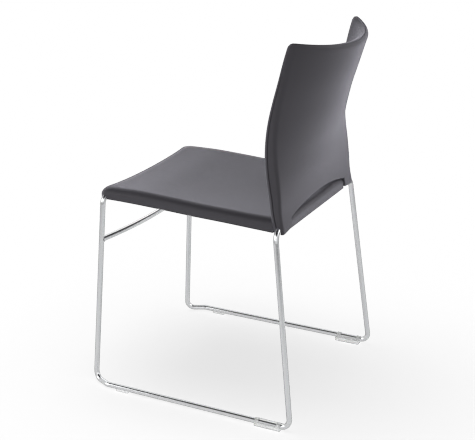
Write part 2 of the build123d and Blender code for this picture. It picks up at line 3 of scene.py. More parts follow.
import bpy
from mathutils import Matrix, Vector


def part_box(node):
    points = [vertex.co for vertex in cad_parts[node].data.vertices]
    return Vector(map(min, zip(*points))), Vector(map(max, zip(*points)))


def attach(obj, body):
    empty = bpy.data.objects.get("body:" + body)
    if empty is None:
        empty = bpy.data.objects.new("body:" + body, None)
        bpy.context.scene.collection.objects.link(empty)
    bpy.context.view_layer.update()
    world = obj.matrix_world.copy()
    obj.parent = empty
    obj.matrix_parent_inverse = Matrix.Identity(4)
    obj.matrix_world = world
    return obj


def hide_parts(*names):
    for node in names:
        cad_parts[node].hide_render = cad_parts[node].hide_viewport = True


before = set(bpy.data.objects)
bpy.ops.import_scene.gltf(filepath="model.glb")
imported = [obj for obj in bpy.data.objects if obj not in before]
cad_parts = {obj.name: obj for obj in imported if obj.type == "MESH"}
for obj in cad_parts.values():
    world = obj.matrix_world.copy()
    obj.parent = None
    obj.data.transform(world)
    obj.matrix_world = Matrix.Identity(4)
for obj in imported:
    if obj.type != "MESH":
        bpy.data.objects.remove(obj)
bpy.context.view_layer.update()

# The dressed conference chair. The sitter faces -Y and +X is the sitter's left, in metres, as in
# the imported model.
mm = 0.001


# The bent rod frame: two side rods and the bowed stretcher between the front legs, of 11 mm round
# steel, polished and chromed. The plate is smooth, with only a faint haze and fine handling marks.
rod_r = 5.5 * mm
chrome_tint = (0.56, 0.565, 0.575, 1)
chrome_dark = (0.53, 0.535, 0.545, 1)
chrome_light = (0.59, 0.595, 0.605, 1)
chrome_roughness = 0.09
chrome_wear = {
    "patch_grain": 38,
    "mark_grain": 900,
    "roughness_low": chrome_roughness / 2,
    "roughness_high": 2 * chrome_roughness,
    "mark_depth": 0.015 * mm,
}
patch_detail = 4
mark_detail = 2
noise_low = 0.3
noise_high = 0.7


def new_finish(name, tint, roughness, metallic=0.0):
    """A material with its shader set to a plain tint, for the nodes of the finish to build on."""
    finish = bpy.data.materials.new(name)
    finish.use_nodes = True
    shader = finish.node_tree.nodes["Principled BSDF"]
    shader.inputs["Base Color"].default_value = tint
    shader.inputs["Roughness"].default_value = roughness
    shader.inputs["Metallic"].default_value = metallic
    return finish, finish.node_tree, shader


def wear_group():
    """Slow patches and fine marks over a surface, as a colour shade, a roughness and a height."""
    group = bpy.data.node_groups.new("surface_wear", "ShaderNodeTree")
    for name in ("Patch Grain", "Mark Grain", "Roughness Low", "Roughness High"):
        group.interface.new_socket(name, in_out="INPUT", socket_type="NodeSocketFloat")
    for name in ("Patches", "Roughness", "Marks"):
        group.interface.new_socket(name, in_out="OUTPUT", socket_type="NodeSocketFloat")
    nodes, links = group.nodes, group.links
    given = nodes.new("NodeGroupInput")
    result = nodes.new("NodeGroupOutput")
    place = nodes.new("ShaderNodeTexCoord")
    patches = nodes.new("ShaderNodeTexNoise")
    patches.inputs["Detail"].default_value = patch_detail
    marks = nodes.new("ShaderNodeTexNoise")
    marks.inputs["Detail"].default_value = mark_detail
    spread = nodes.new("ShaderNodeMapRange")
    spread.inputs["From Min"].default_value = noise_low
    spread.inputs["From Max"].default_value = noise_high
    links.new(place.outputs["Object"], patches.inputs["Vector"])
    links.new(place.outputs["Object"], marks.inputs["Vector"])
    links.new(given.outputs["Patch Grain"], patches.inputs["Scale"])
    links.new(given.outputs["Mark Grain"], marks.inputs["Scale"])
    links.new(given.outputs["Roughness Low"], spread.inputs["To Min"])
    links.new(given.outputs["Roughness High"], spread.inputs["To Max"])
    links.new(patches.outputs["Fac"], spread.inputs["Value"])
    links.new(patches.outputs["Fac"], result.inputs["Patches"])
    links.new(spread.outputs["Result"], result.inputs["Roughness"])
    links.new(marks.outputs["Fac"], result.inputs["Marks"])
    return group


surface_wear = wear_group()


def add_wear(tree, shader, patch_grain, mark_grain, roughness_low, roughness_high, mark_depth):
    """Places the wear in a material: its roughness, and its marks as a shallow bump."""
    wear = tree.nodes.new("ShaderNodeGroup")
    wear.node_tree = surface_wear
    wear.inputs["Patch Grain"].default_value = patch_grain
    wear.inputs["Mark Grain"].default_value = mark_grain
    wear.inputs["Roughness Low"].default_value = roughness_low
    wear.inputs["Roughness High"].default_value = roughness_high
    relief = tree.nodes.new("ShaderNodeBump")
    relief.inputs["Distance"].default_value = mark_depth
    tree.links.new(wear.outputs["Roughness"], shader.inputs["Roughness"])
    tree.links.new(wear.outputs["Marks"], relief.inputs["Height"])
    tree.links.new(relief.outputs["Normal"], shader.inputs["Normal"])
    return wear


def tint_by(tree, shader, mask, low_tint, high_tint):
    """Tints a material from low_tint to high_tint by a mask over the surface."""
    mix = tree.nodes.new("ShaderNodeMix")
    mix.data_type = "RGBA"
    mix.inputs["A"].default_value = low_tint
    mix.inputs["B"].default_value = high_tint
    tree.links.new(mask, mix.inputs["Factor"])
    tree.links.new(mix.outputs["Result"], shader.inputs["Base Color"])


def finish_node(node, finish):
    """Gives a carried-over node its finish."""
    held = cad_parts[node].data.materials
    held.clear()
    held.append(finish)


frame_chrome, tree, shader = new_finish(
    "frame_chrome", chrome_tint, chrome_roughness, metallic=1.0
)
wear = add_wear(tree, shader, **chrome_wear)
tint_by(tree, shader, wear.outputs["Patches"], chrome_dark, chrome_light)

for node in ("frame_rod_left", "frame_rod_right", "front_stretcher"):
    finish_node(node, frame_chrome)


# Weld fillets where the stretcher's coped ends meet the front legs: two small smooth beads, ground
# and chromed with the frame. A bead's centre is found on the leg, between its knee and its foot.
stretcher_low, stretcher_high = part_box("front_stretcher")
stretcher_z = (stretcher_low.z + stretcher_high.z) / 2
front_run_y = -252.4 * mm
front_run_z = 468.5 * mm
front_foot_y = -280.3 * mm
front_knee_half_width = 210.2 * mm
front_foot_half_track = 229.4 * mm
runner_z = 9.0 * mm
bead_r = 1.3 * mm
bead_ring_r = rod_r + bead_r / 3
bead_ring_steps = 40
bead_steps = 12
leg_share = (front_run_z - stretcher_z) / (front_run_z - runner_z)
leg_x = front_knee_half_width + leg_share * (front_foot_half_track - front_knee_half_width)
leg_y = front_run_y + leg_share * (front_foot_y - front_run_y)
bow_turn = math.radians(10.2)
quarter_turn = math.radians(90)


def pick(piece):
    """Selects a piece alone and makes it the active one."""
    bpy.ops.object.select_all(action="DESELECT")
    piece.select_set(True)
    bpy.context.view_layer.objects.active = piece


def settle(piece, body="root"):
    """Moves a piece's place into its mesh, and lets it ride on the chair."""
    pick(piece)
    bpy.ops.object.transform_apply(location=True, rotation=True, scale=True)
    piece.select_set(False)
    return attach(piece, body)


for side, name in ((1, "left"), (-1, "right")):
    bpy.ops.mesh.primitive_torus_add(
        major_radius=bead_ring_r,
        minor_radius=bead_r,
        major_segments=bead_ring_steps,
        minor_segments=bead_steps,
        location=(side * leg_x, leg_y, stretcher_z),
        rotation=(0, quarter_turn, -side * bow_turn),
    )
    bead = bpy.context.object
    bead.name = f"stretcher_weld_{name}"
    for vertex in bead.data.vertices:
        ring_share = abs(vertex.co.y) / (bead_ring_r + bead_r)
        saddle_in = rod_r * math.sqrt(max(0, 1 - min(1, ring_share) ** 2))
        vertex.co.z += -side * (saddle_in + bead_r / 2)
    bpy.ops.object.shade_smooth()
    bead.data.materials.append(frame_chrome)
    settle(bead)


# Clear glides under the runners: moulded polycarbonate, a little milky from the mould. The front
# ones are slim soles, and the rear ones clips with a flange towards the chair's middle.
glide_tint = (0.96, 0.965, 0.97, 1)
glide_roughness = 0.22
glide_clearness = 0.3
glide_ior = 1.5
glide_wear = {
    "patch_grain": 60,
    "mark_grain": 1500,
    "roughness_low": 0.1,
    "roughness_high": 0.24,
    "mark_depth": 0.02 * mm,
}

glide_clear, tree, shader = new_finish("glide_clear", glide_tint, glide_roughness)
shader.inputs["Transmission Weight"].default_value = glide_clearness
shader.inputs["IOR"].default_value = glide_ior
add_wear(tree, shader, **glide_wear)

for node in ("glide_front_left", "glide_front_right", "glide_rear_left", "glide_rear_right"):
    finish_node(node, glide_clear)


# What is hidden under the upholstery: moulded beech plywood shells, zinc-plated steel uprights,
# tabs and screws, and brass inserts. The black underseat panel is seen from below.
beech_light = (0.66, 0.47, 0.29, 1)
beech_dark = (0.5, 0.33, 0.19, 1)
beech_roughness = 0.55
beech_stretch = (70, 5, 70)
beech_grain = 2
beech_detail = 6
beech_wear = {
    "patch_grain": 12,
    "mark_grain": 700,
    "roughness_low": 0.45,
    "roughness_high": 0.65,
    "mark_depth": 0.08 * mm,
}

# Finishes that differ only in their values: the shader's own, the wear's, and the two tints that
# the wear's patches run between.
plain_finishes = {
    "bracket_steel": {
        "shader": {"tint": (0.56, 0.57, 0.58, 1), "roughness": 0.35, "metallic": 1.0},
        "wear": {
            "patch_grain": 90,
            "mark_grain": 1200,
            "roughness_low": 0.28,
            "roughness_high": 0.45,
            "mark_depth": 0.02 * mm,
        },
        "tints": ((0.5, 0.51, 0.52, 1), (0.62, 0.62, 0.61, 1)),
        "nodes": (
            "back_upright_left",
            "back_upright_right",
            "seat_tab_front_left",
            "seat_tab_front_right",
            "seat_tab_rear_left",
            "seat_tab_rear_right",
        ),
    },
    "screw_steel": {
        "shader": {"tint": (0.56, 0.57, 0.58, 1), "roughness": 0.3, "metallic": 1.0},
        "wear": {
            "patch_grain": 250,
            "mark_grain": 2500,
            "roughness_low": 0.22,
            "roughness_high": 0.4,
            "mark_depth": 0.02 * mm,
        },
        "tints": ((0.4, 0.41, 0.43, 1), (0.52, 0.52, 0.53, 1)),
        "nodes": ("back_screws", "seat_screws"),
    },
    "insert_brass": {
        "shader": {"tint": (0.72, 0.5, 0.2, 1), "roughness": 0.3, "metallic": 1.0},
        "wear": {
            "patch_grain": 250,
            "mark_grain": 2500,
            "roughness_low": 0.2,
            "roughness_high": 0.35,
            "mark_depth": 0.02 * mm,
        },
        "tints": ((0.62, 0.42, 0.16, 1), (0.78, 0.57, 0.26, 1)),
        "nodes": ("back_inserts",),
    },
    "panel_plastic": {
        "shader": {"tint": (0.018, 0.018, 0.02, 1), "roughness": 0.5, "metallic": 0.0},
        "wear": {
            "patch_grain": 25,
            "mark_grain": 1100,
            "roughness_low": 0.42,
            "roughness_high": 0.58,
            "mark_depth": 0.12 * mm,
        },
        "tints": ((0.014, 0.014, 0.016, 1), (0.024, 0.024, 0.026, 1)),
        "nodes": ("underseat_panel",),
    },
}

shell_plywood, tree, shader = new_finish("shell_plywood", beech_light, beech_roughness)
add_wear(tree, shader, **beech_wear)
place = tree.nodes.new("ShaderNodeTexCoord")
along = tree.nodes.new("ShaderNodeMapping")
along.inputs["Scale"].default_value = beech_stretch
figure = tree.nodes.new("ShaderNodeTexNoise")
figure.inputs["Scale"].default_value = beech_grain
figure.inputs["Detail"].default_value = beech_detail
tree.links.new(place.outputs["Object"], along.inputs["Vector"])
tree.links.new(along.outputs["Vector"], figure.inputs["Vector"])
tint_by(tree, shader, figure.outputs["Fac"], beech_light, beech_dark)
for node in ("seat_shell", "back_shell"):
    finish_node(node, shell_plywood)

for name, values in plain_finishes.items():
    finish, tree, shader = new_finish(name, **values["shader"])
    wear = add_wear(tree, shader, **values["wear"])
    tint_by(tree, shader, wear.outputs["Patches"], *values["tints"])
    for node in values["nodes"]:
        finish_node(node, finish)


# The upholstery fabric: a fine, tightly woven anthracite cloth with a soft sheen, the same on the
# seat and the back. Its threads follow each piece's own UV map, which is in metres. Its colour
# runs between a dark and a light tint with random slubs, and with the threads' height, which paints
# shade into the hollows between the threads and a lighter tone onto their crowns.
cloth_dark_slub_and_thread_shade = (0.032, 0.0295, 0.0355, 1)
cloth_light_slub_and_lit_threads = (0.051, 0.0475, 0.0565, 1)
thread_pitch = 0.75 * mm
thread_depth = 0.1 * mm
thread_strength = 0.6
thread_crossing = 0.2
painted_thread_shade_share = 0.55
slub_grain = 9
slub_detail = 5
cloth_roughness = 0.62
cloth_specular = 0.35
cloth_sheen = 0.85
sheen_roughness = 0.4
sheen_tint = (0.88, 0.86, 0.98, 1)


def weave_group():
    """Plain weave over a vector in metres, as the height of its threads."""
    group = bpy.data.node_groups.new("plain_weave", "ShaderNodeTree")
    group.interface.new_socket("Vector", in_out="INPUT", socket_type="NodeSocketVector")
    group.interface.new_socket("Pitch", in_out="INPUT", socket_type="NodeSocketFloat")
    group.interface.new_socket("Height", in_out="OUTPUT", socket_type="NodeSocketFloat")
    nodes, links = group.nodes, group.links
    given = nodes.new("NodeGroupInput")
    result = nodes.new("NodeGroupOutput")
    split = nodes.new("ShaderNodeSeparateXYZ")
    links.new(given.outputs["Vector"], split.inputs["Vector"])
    waves = []
    for axis in ("X", "Y"):
        turns = nodes.new("ShaderNodeMath")
        turns.operation = "DIVIDE"
        links.new(split.outputs[axis], turns.inputs[0])
        links.new(given.outputs["Pitch"], turns.inputs[1])
        angle = nodes.new("ShaderNodeMath")
        angle.operation = "MULTIPLY"
        angle.inputs[1].default_value = math.pi
        links.new(turns.outputs[0], angle.inputs[0])
        wave = nodes.new("ShaderNodeMath")
        wave.operation = "SINE"
        links.new(angle.outputs[0], wave.inputs[0])
        waves.append(wave)
    crossing = nodes.new("ShaderNodeMath")
    crossing.operation = "MULTIPLY"
    links.new(waves[0].outputs[0], crossing.inputs[0])
    links.new(waves[1].outputs[0], crossing.inputs[1])
    over = nodes.new("ShaderNodeMapRange")
    over.inputs["From Min"].default_value = -thread_crossing
    over.inputs["From Max"].default_value = thread_crossing
    links.new(crossing.outputs[0], over.inputs["Value"])
    rounds = []
    for wave in waves:
        thread = nodes.new("ShaderNodeMath")
        thread.operation = "ABSOLUTE"
        links.new(wave.outputs[0], thread.inputs[0])
        rounds.append(thread)
    weave = nodes.new("ShaderNodeMix")
    links.new(over.outputs["Result"], weave.inputs["Factor"])
    links.new(rounds[0].outputs[0], weave.inputs["A"])
    links.new(rounds[1].outputs[0], weave.inputs["B"])
    links.new(weave.outputs["Result"], result.inputs["Height"])
    return group


cover_cloth, tree, shader = new_finish("cover_cloth", cloth_dark_slub_and_thread_shade, cloth_roughness)
shader.inputs["Sheen Weight"].default_value = cloth_sheen
shader.inputs["Sheen Roughness"].default_value = sheen_roughness
shader.inputs["Sheen Tint"].default_value = sheen_tint
shader.inputs["Specular IOR Level"].default_value = cloth_specular
flat_place = tree.nodes.new("ShaderNodeUVMap")
flat_place.uv_map = "cloth"
weave = tree.nodes.new("ShaderNodeGroup")
weave.node_tree = weave_group()
weave.inputs["Pitch"].default_value = thread_pitch
tree.links.new(flat_place.outputs["UV"], weave.inputs["Vector"])
slub = tree.nodes.new("ShaderNodeTexNoise")
slub.inputs["Scale"].default_value = slub_grain
slub.inputs["Detail"].default_value = slub_detail
slub_place = tree.nodes.new("ShaderNodeTexCoord")
tree.links.new(slub_place.outputs["Object"], slub.inputs["Vector"])
# Colour mask: the threads' height, as painted shade between the threads and painted light on their
# crowns, plus random slub noise.
shade = tree.nodes.new("ShaderNodeMath")
shade.operation = "MULTIPLY_ADD"
shade.inputs[1].default_value = painted_thread_shade_share
tree.links.new(weave.outputs["Height"], shade.inputs[0])
slub_part = tree.nodes.new("ShaderNodeMath")
slub_part.operation = "MULTIPLY"
slub_part.inputs[1].default_value = 1 - painted_thread_shade_share
tree.links.new(slub.outputs["Fac"], slub_part.inputs[0])
tree.links.new(slub_part.outputs[0], shade.inputs[2])
tint_by(tree, shader, shade.outputs[0], cloth_dark_slub_and_thread_shade, cloth_light_slub_and_lit_threads)
threads = tree.nodes.new("ShaderNodeBump")
threads.inputs["Distance"].default_value = thread_depth
threads.inputs["Strength"].default_value = thread_strength
tree.links.new(weave.outputs["Height"], threads.inputs["Height"])
tree.links.new(threads.outputs["Normal"], shader.inputs["Normal"])


# The seat pad: cloth pulled tight over foam on the seat's shell, dished for the sitter, with a
# rolled nose and soft shoulders. It is open below, where the black panel closes it, notched for the
# front legs, and cut away beside its tail, which runs out under the arch in the back's lower edge.
seat_front_y = -265.4 * mm
seat_rear_y = 194.5 * mm
seat_rim_z = 461.5 * mm
seat_half_width = 205 * mm
seat_thickness = 28 * mm
seat_rear_drop = 13 * mm
seat_dish = 11 * mm
shoulder_width = 20 * mm
shoulder_share = 0.5
nose_width = 20 * mm
nose_drop = 17 * mm
nose_corner_r = 14 * mm
crest_corner_r = 30 * mm
nose_wall_least = 5 * mm
nose_lip = 8 * mm
nose_lift = 3 * mm
tail_edge_r = 11 * mm
tail_side_r = 1.5 * mm
tail_half_width = 156.6 * mm
tail_sag = 2.5 * mm
tail_dip = 2 * mm
bay_front_y = 173.6 * mm
arch_half_width = 157 * mm
arch_foot_z = 471.5 * mm
arch_crown_z = {"front": 478 * mm, "seam": 482 * mm, "rear": 491.5 * mm}
pad_gap = 0.8 * mm
cloth_thickness = 1.4 * mm
cloth_fold_angle = math.radians(50)
hem_front_y = -247 * mm
hem_rear_y = 182 * mm
hem_facing_share = 0.7
notch_gap = 0.8 * mm
notch_depth = 40 * mm
notch_sides = 32
notch_bend_shares = (0, 0.3, 0.6, 0.85)
notch_bend_most_share = 0.95
notch_roof_share = 0.05
front_notch = {"near_x": 181 * mm, "far_x": 211 * mm, "knee_x": 191.5 * mm, "knee_r": 19 * mm}
seat_fill_share = 0.8
seat_columns = 56
seat_rows = 64
tail_columns = 42
tail_rows = 6
shoulder_layers = 8
wall_layers = 4

# Shares of the seat's length, rear drop, thickness and dish, from the nose to the tail.
seat_row_shares = [
    (0.000, 0.00, 0.94, 0.90),
    (0.041, 0.00, 0.92, 0.88),
    (0.075, 0.00, 0.91, 0.86),
    (0.220, 0.02, 0.94, 0.87),
    (0.370, 0.15, 0.90, 1.00),
    (0.530, 0.40, 0.88, 0.95),
    (0.700, 0.57, 0.87, 0.83),
    (0.840, 0.77, 0.90, 0.60),
    (1.000, 1.00, 1.00, 0.20),
]


def flowing(rows, share):
    """The rows' values at a share of the way along them, on a smooth curve through the rows."""
    share = min(max(share, rows[0][0]), rows[-1][0])
    index = 0
    while index < len(rows) - 2 and share > rows[index + 1][0]:
        index += 1
    near, far = rows[index], rows[index + 1]
    span = far[0] - near[0]
    t = (share - near[0]) / span
    before = rows[index - 1] if index else near
    after = rows[index + 2] if index + 2 < len(rows) else far
    values = []
    for a, b, c, d in list(zip(before, near, far, after))[1:]:
        slope_near = (c - a) / (far[0] - before[0]) * span
        slope_far = (d - b) / (after[0] - near[0]) * span
        values.append(
            (2 * t**3 - 3 * t**2 + 1) * b
            + (t**3 - 2 * t**2 + t) * slope_near
            + (3 * t**2 - 2 * t**3) * c
            + (t**3 - t**2) * slope_far
        )
    return values


def between(low, high, share):
    """A value part of the way from low to high."""
    return low + (high - low) * share


def arch_z(x, lies):
    """Height of the arch in the back's lower edge. It is lower in front, where it shuts the gap."""
    across = min(1, abs(x) / arch_half_width)
    return between(arch_foot_z, arch_crown_z[lies], 1 - across**2)


def seat_levels(x, y):
    """Heights of the seat's rim, shoulder edge and top at a place."""
    share = (y - seat_front_y) / (seat_rear_y - seat_front_y)
    drop, thick, dish = flowing(seat_row_shares, share)
    rim_z = seat_rim_z - seat_rear_drop * drop
    edge_z = rim_z + seat_thickness * thick
    flank = seat_half_width - shoulder_width
    across = min(1, abs(x) / flank)
    return rim_z, edge_z, edge_z - seat_dish * dish * (1 - across**2)


def lattice(columns, rows, layers, keep):
    """A slab of unit spacing in columns, rows and layers, where keep says which cells stay."""
    bpy.ops.object.select_all(action="DESELECT")
    bpy.ops.mesh.primitive_grid_add(x_subdivisions=columns, y_subdivisions=rows, size=1)
    slab = bpy.context.object
    bpy.ops.object.mode_set(mode="EDIT")
    bpy.ops.mesh.select_all(action="DESELECT")
    bpy.ops.object.mode_set(mode="OBJECT")
    for vertex in slab.data.vertices:
        vertex.co.x = round(vertex.co.x * columns + columns / 2)
        vertex.co.y = round(vertex.co.y * rows + rows / 2)
        vertex.co.z = 0
    for cell in slab.data.polygons:
        cell.select = not keep(cell.center.x, cell.center.y)
    bpy.ops.object.mode_set(mode="EDIT")
    bpy.ops.mesh.delete(type="FACE")
    bpy.ops.mesh.select_all(action="SELECT")
    bpy.ops.mesh.extrude_region_move(TRANSFORM_OT_translate={"value": (0, 0, layers)})
    bpy.ops.mesh.select_all(action="DESELECT")
    bpy.ops.object.mode_set(mode="OBJECT")
    ends = slab.data.vertices
    for edge in slab.data.edges:
        low, high = edge.vertices
        edge.select = abs(ends[low].co.z - ends[high].co.z) > layers / 2
    bpy.ops.object.mode_set(mode="EDIT")
    bpy.ops.mesh.select_mode(type="EDGE")
    bpy.ops.mesh.subdivide(number_cuts=layers - 1)
    bpy.ops.mesh.select_mode(type="FACE")
    bpy.ops.mesh.select_all(action="SELECT")
    bpy.ops.mesh.normals_make_consistent(inside=False)
    bpy.ops.mesh.select_all(action="DESELECT")
    bpy.ops.object.mode_set(mode="OBJECT")
    return slab


body_rows = seat_rows - tail_rows
half_tail_columns = tail_columns / 2
side_columns = (seat_columns - tail_columns) / 2
seat_layers = shoulder_layers + wall_layers


def seat_cell_stays(column, row):
    """The seat's cells, but for those at its rear corners, where the back's ears are."""
    return row < body_rows or abs(column - seat_columns / 2) < half_tail_columns


seat_pad = lattice(seat_columns, seat_rows, seat_layers, seat_cell_stays)

for vertex in seat_pad.data.vertices:
    column, row, layer = vertex.co
    layer = seat_layers - layer
    angle = math.pi / 2 * min(1, layer / shoulder_layers)
    inset = 1 - math.sin(angle)
    sink = 1 - math.cos(angle)
    lowness = max(0, layer - shoulder_layers) / wall_layers
    from_middle = column - seat_columns / 2
    side = 1 if from_middle > 0 else -1
    half = seat_half_width - shoulder_width * inset
    tail_half = tail_half_width - tail_side_r * inset
    if abs(from_middle) <= half_tail_columns:
        x = tail_half * from_middle / half_tail_columns
    else:
        x = side * between(tail_half, half, (abs(from_middle) - half_tail_columns) / side_columns)
    front_y = seat_front_y + nose_width * inset
    bay_y = bay_front_y - tail_edge_r * inset
    if row <= body_rows:
        y = between(front_y, bay_y, row / body_rows)
    else:
        y = between(bay_y, seat_rear_y - tail_edge_r * inset, (row - body_rows) / tail_rows)
    corner_r = between(nose_corner_r, crest_corner_r, inset)
    over_x = (abs(x) - (half - corner_r)) / corner_r
    over_y = (front_y + corner_r - y) / corner_r
    if over_x > 0 and over_y > 0:
        round_x = over_x * math.sqrt(1 - over_y**2 / 2)
        round_y = over_y * math.sqrt(1 - over_x**2 / 2)
        x = side * (half - corner_r + corner_r * round_x)
        y = front_y + corner_r - corner_r * round_y
    rim_z, edge_z, top_z = seat_levels(x, y)
    if row >= body_rows - 1 and abs(from_middle) <= half_tail_columns:
        top_z = min(top_z, arch_z(x, "front") - pad_gap)
    from_nose = y - seat_front_y
    nose_share = max(0, 1 - from_nose / (2 * nose_width))
    lip_share = max(0, 1 - from_nose / nose_lip)
    nose_z = max(rim_z + nose_wall_least, top_z - nose_drop)
    wall_z = between(between(rim_z, edge_z, 1 - shoulder_share), nose_z, nose_share)
    if row > body_rows or (row == body_rows and abs(from_middle) > half_tail_columns):
        tail_share = (row - body_rows) / tail_rows
        top_z -= tail_dip * tail_share
        wall_z = top_z - tail_edge_r
        rim_z -= tail_sag * tail_share
    if layer <= shoulder_layers:
        z = between(top_z, wall_z, sink)
    else:
        z = between(wall_z, rim_z + nose_lift * lip_share**2, lowness)
    vertex.co = (x, y, z)
seat_pad.data.update()

pick(seat_pad)
for face in seat_pad.data.polygons:
    face.select = face.normal.z < -hem_facing_share and hem_front_y < face.center.y < hem_rear_y
bpy.ops.object.mode_set(mode="EDIT")
bpy.ops.mesh.delete(type="FACE")
bpy.ops.object.mode_set(mode="OBJECT")


def apply_all(piece):
    """Applies a piece's modifiers in order."""
    pick(piece)
    for modifier in list(piece.modifiers):
        bpy.ops.object.modifier_apply(modifier=modifier.name)


def slot_cutter(run_y, run_z, near_x, far_x, knee_x, knee_r):
    """A round-topped slot for the rod, open below, on both sides of the chair, as one cutting
    shape. Past knee_x it bends down with the rod's knee."""
    slot_r = rod_r + notch_gap
    halves = []
    for side in (1, -1):
        middle_x = side * (near_x + far_x) / 2
        bpy.ops.mesh.primitive_cylinder_add(
            vertices=notch_sides,
            radius=slot_r,
            depth=far_x - near_x,
            location=(middle_x, run_y, run_z),
            rotation=(0, quarter_turn, 0),
        )
        cutter = bpy.context.object
        bpy.ops.object.transform_apply(location=True, rotation=True, scale=True)
        bpy.ops.object.mode_set(mode="EDIT")
        for share in notch_bend_shares:
            bpy.ops.mesh.select_all(action="SELECT")
            bpy.ops.mesh.bisect(
                plane_co=(side * (knee_x + knee_r * share), run_y, run_z), plane_no=(1, 0, 0)
            )
        bpy.ops.object.mode_set(mode="OBJECT")
        for vertex in cutter.data.vertices:
            bend_share = min(notch_bend_most_share, max(0, abs(vertex.co.x) - knee_x) / knee_r)
            in_roof = vertex.co.z >= run_z - slot_r * notch_roof_share
            vertex.co.z -= knee_r * (1 - math.sqrt(1 - bend_share**2))
            if not in_roof:
                vertex.co.z -= notch_depth
        halves.append(cutter)
    pick(halves[0])
    halves[1].select_set(True)
    bpy.ops.object.join()
    return halves[0]


def cut_out(piece, cutter):
    """Cuts a shape out of a piece and removes the shape."""
    cut = piece.modifiers.new("cut", "BOOLEAN")
    cut.operation = "DIFFERENCE"
    cut.solver = "EXACT"
    cut.object = cutter
    apply_all(piece)
    bpy.data.objects.remove(cutter)


def lay_cloth(piece, name, fill, *nodes):
    """Finishes an upholstered piece: its cloth, its flat map in metres, and what it stands for."""
    pick(piece)
    piece.name = name
    while piece.data.uv_layers:
        piece.data.uv_layers.remove(piece.data.uv_layers[0])
    piece.data.uv_layers.new(name="cloth")
    bpy.ops.object.mode_set(mode="EDIT")
    bpy.ops.mesh.select_all(action="SELECT")
    bpy.ops.uv.cube_project(cube_size=1, correct_aspect=False, scale_to_bounds=False)
    bpy.ops.object.mode_set(mode="OBJECT")
    bpy.ops.object.shade_smooth_by_angle(angle=cloth_fold_angle)
    piece.data.materials.clear()
    piece.data.materials.append(cover_cloth)
    settle(piece)
    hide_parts(*nodes)


cloth_wall = seat_pad.modifiers.new("cloth_wall", "SOLIDIFY")
cloth_wall.thickness = cloth_thickness
cloth_wall.offset = -1
cloth_wall.use_even_offset = True
apply_all(seat_pad)
cut_out(seat_pad, slot_cutter(front_run_y, front_run_z, **front_notch))
lay_cloth(seat_pad, "seat_pad", seat_fill_share, "seat_cover", "seat_foam")


# The back pad: cloth over foam on both sides of the back's shell, wrapped round the sitter and
# arched over the seat's tail. The front and rear covers are joined by a sunk seam along the side.
# Where a roll or the seam has two values, they are those at the foot and at the top.
back_foot_z = 446.5 * mm
back_height = 413 * mm
back_foot_y = 174.5 * mm
back_half_width = 206 * mm
back_lean = 27.2 * mm
back_wrap = 87 * mm
back_thickness = 33 * mm
back_crown = 7 * mm
back_top_z = 839.8 * mm
back_top_dip = 17.7 * mm
back_tip_half_width = 185.2 * mm
back_top_power = 2.3
ear_rise = 5.5 * mm
low_edge_r = 1.5 * mm
front_roll = (12 * mm, 10 * mm)
seam_in = (10.5 * mm, 8 * mm)
rear_roll = (6 * mm, 8 * mm)
top_roll = {"front": 7 * mm, "seam": 0, "rear": 12 * mm}
top_round_share = 0.1
tip_corner_r = 8 * mm
seam_width = 2.4 * mm
seam_depth = 3.4 * mm
back_columns = 60
arch_columns = 46
back_rows = 60
ear_rows = 4
edge_layers = 7
seam_layers = 4
settle_passes = 4
rear_run_y = 186.9 * mm
rear_run_z = 457.5 * mm
rear_notch = {"near_x": 152 * mm, "far_x": 215 * mm, "knee_x": 194 * mm, "knee_r": 28 * mm}
back_fill_share = 0.85

# Shares of the back's height, lean, thickness, wrap, half width and crown, from the ears up.
back_row_shares = [
    (0.000, 0.00, 0.79, 0.016, 1.000, 0.3),
    (0.090, -0.35, 0.85, 0.057, 0.995, 0.5),
    (0.186, -0.57, 0.92, 0.110, 0.990, 0.7),
    (0.283, -0.83, 0.98, 0.230, 0.985, 0.9),
    (0.380, -0.99, 0.92, 0.380, 0.980, 1.0),
    (0.477, -1.00, 0.82, 0.550, 0.975, 1.0),
    (0.574, -0.87, 0.73, 0.680, 0.964, 1.0),
    (0.671, -0.60, 0.63, 0.770, 0.948, 1.0),
    (0.792, -0.17, 0.55, 0.865, 0.929, 1.0),
    (0.913, 0.26, 0.49, 0.945, 0.913, 1.0),
    (1.000, 0.64, 0.44, 1.000, 0.899, 1.0),
]


def arc_rise(x, half, sagitta):
    """Height over its chord, at x, of an arc with the given half chord and sagitta."""
    span = half**2 + sagitta**2
    return sagitta - 2 * sagitta * x**2 / (span + math.sqrt(span**2 - 4 * (sagitta * x) ** 2))


def back_half_at(z):
    """The back's half width at a height."""
    lean, thick, wrap, wide, crown = flowing(back_row_shares, (z - back_foot_z) / back_height)
    return back_half_width * wide


def back_faces_y(x, z):
    """Depths of the back's front and rear faces at a place."""
    lean, thick, wrap, wide, crown = flowing(back_row_shares, (z - back_foot_z) / back_height)
    half = back_half_width * wide
    x = min(abs(x), half)
    edge_y = back_foot_y + back_lean * lean
    front_y = edge_y + arc_rise(x, half, back_wrap * wrap - back_crown * crown)
    rear_y = edge_y + back_thickness * thick + arc_rise(x, half, back_wrap * wrap)
    return front_y, rear_y


half_arch_columns = arch_columns / 2
ear_columns = (back_columns - arch_columns) / 2
back_layers = 2 * edge_layers + seam_layers


def back_cell_stays(column, row):
    """The back's cells, but for those under its arch."""
    return row > ear_rows or abs(column - back_columns / 2) > half_arch_columns


def edge_profile(layer):
    """The shares by which a layer is drawn in from the rim and set back from the face that it
    belongs to, and that face. In the seam, the second is its place across, from -1 to 1."""
    if layer <= edge_layers:
        angle = math.pi / 2 * layer / edge_layers
        return 1 - math.sin(angle), 1 - math.cos(angle), "front"
    if layer >= back_layers - edge_layers:
        angle = math.pi / 2 * (back_layers - layer) / edge_layers
        return 1 - math.sin(angle), 1 - math.cos(angle), "rear"
    return 0, layer - edge_layers - seam_layers / 2, "seam"


back_pad = lattice(back_columns, back_rows, back_layers, back_cell_stays)

